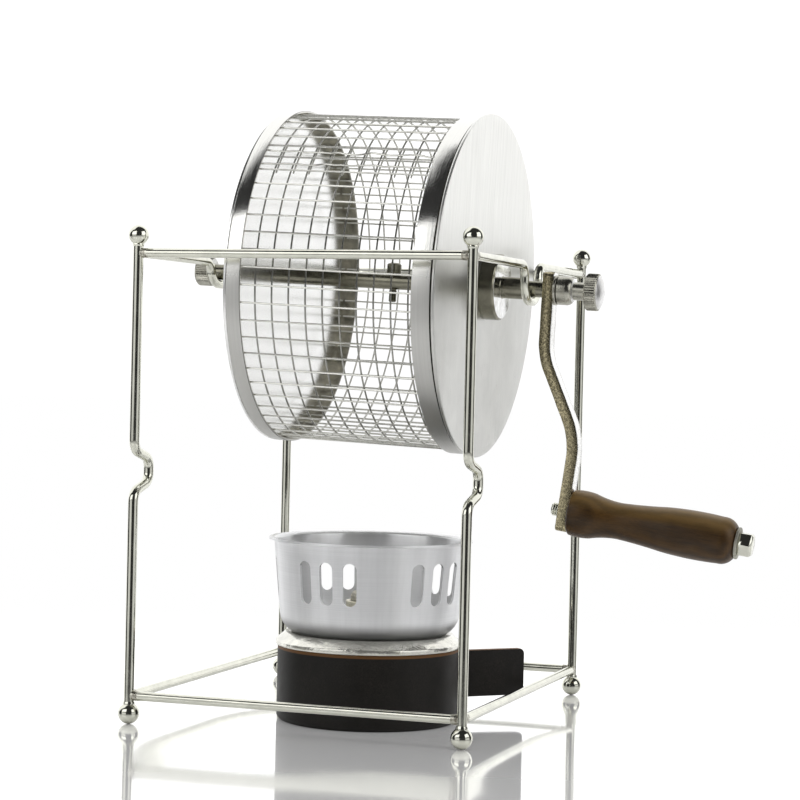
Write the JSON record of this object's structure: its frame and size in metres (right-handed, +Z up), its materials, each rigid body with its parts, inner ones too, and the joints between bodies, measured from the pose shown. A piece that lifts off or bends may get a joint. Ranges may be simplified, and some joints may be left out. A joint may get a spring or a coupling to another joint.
{
  "type": "coffee roaster",
  "caption": "Hand-cranked coffee roaster: a wire-mesh drum on an axle in a bent-rod stand, turned by a crank with a wooden grip over a spirit burner with a slotted windscreen.",
  "frame": {"origin": "on the floor, midway between the four posts of the stand", "axes": "+X along the top bars towards the crank, +Y from the kinked front posts to the back, +Z up"},
  "size_m": [0.2197, 0.1556, 0.2252],
  "materials": {
    "polished_rod": "polished",
    "brushed_sheet": "brushed",
    "mesh_wire": "drawn wire, welded",
    "turned_steel": "turned",
    "passivated_steel": "yellow passivated",
    "grip_wood": "semi-gloss stain",
    "black_base": "matte",
    "polished_font": "polished",
    "spun_aluminium": "satin, spun",
    "tube_brass": "turned",
    "wick_cotton": "woven"
  },
  "bodies": {
    "stand": {"front_left_post": "polished_rod", "front_right_post": "polished_rod", "rear_left_post": "polished_rod", "rear_right_post": "polished_rod", "front_top_bar": "polished_rod", "rear_top_bar": "polished_rod", "left_rail": "polished_rod", "right_rail": "polished_rod", "front_bottom_bar": "polished_rod", "rear_bottom_bar": "polished_rod", "left_bottom_bar": "polished_rod", "right_bottom_bar": "polished_rod", "ball_feet": "polished_rod", "ball_finials": "polished_rod"},
    "drum": {"axle": "turned_steel", "right_disc": "brushed_sheet", "right_band": "brushed_sheet", "right_hub": "turned_steel", "mesh_wires": "mesh_wire", "mesh_rings": "mesh_wire", "seam_wires": "mesh_wire", "cross_bolt": "turned_steel", "crank_arm": "passivated_steel", "arm_washer": "turned_steel", "grip_bolt": "turned_steel", "grip_washer": "turned_steel"},
    "end_cap": {"left_disc": "brushed_sheet", "left_band": "brushed_sheet", "left_hub": "turned_steel"},
    "crank_grip": {"grip": "grip_wood"},
    "crank_nut": {"thumb_nut": "turned_steel"},
    "far_knob": {"end_knob": "turned_steel"},
    "burner": {"burner_base": "black_base", "fuel_font": "polished_font", "wick_tube": "tube_brass", "wick": "wick_cotton"},
    "flame_guard": {"windscreen": "spun_aluminium"}
  },
  "joints": [
    {"name": "drum_spin", "type": "hinge", "parent": "stand", "child": "drum", "pos_m": [0, 0, 0.1614], "axis": [0.9992, 0, -0.0401], "continuous": true},
    {"name": "cap_slide", "type": "slide", "parent": "drum", "child": "end_cap", "axis": [-0.9992, 0, 0.0401], "range_m": [0, 0.018]},
    {"name": "grip_spin", "type": "hinge", "parent": "drum", "child": "crank_grip", "pos_m": [0.07532, 0, 0.07804], "axis": [0.9905, 0, -0.1374], "continuous": true},
    {"name": "crank_nut_turn", "type": "hinge", "parent": "drum", "child": "crank_nut", "pos_m": [0.07994, 0, 0.15819], "axis": [0.9992, 0, -0.0401], "continuous": true},
    {"name": "far_knob_turn", "type": "hinge", "parent": "drum", "child": "far_knob", "pos_m": [-0.06994, 0, 0.16421], "axis": [0.9992, 0, -0.0401], "continuous": true},
    {"name": "burner_lift", "type": "slide", "parent": "stand", "child": "burner", "axis": [0, 0, 1], "range_m": [0, 0.0125]},
    {"name": "windscreen_lift", "type": "slide", "parent": "burner", "child": "flame_guard", "axis": [0, 0, 1], "range_m": [0, 0.012]}
  ]
}
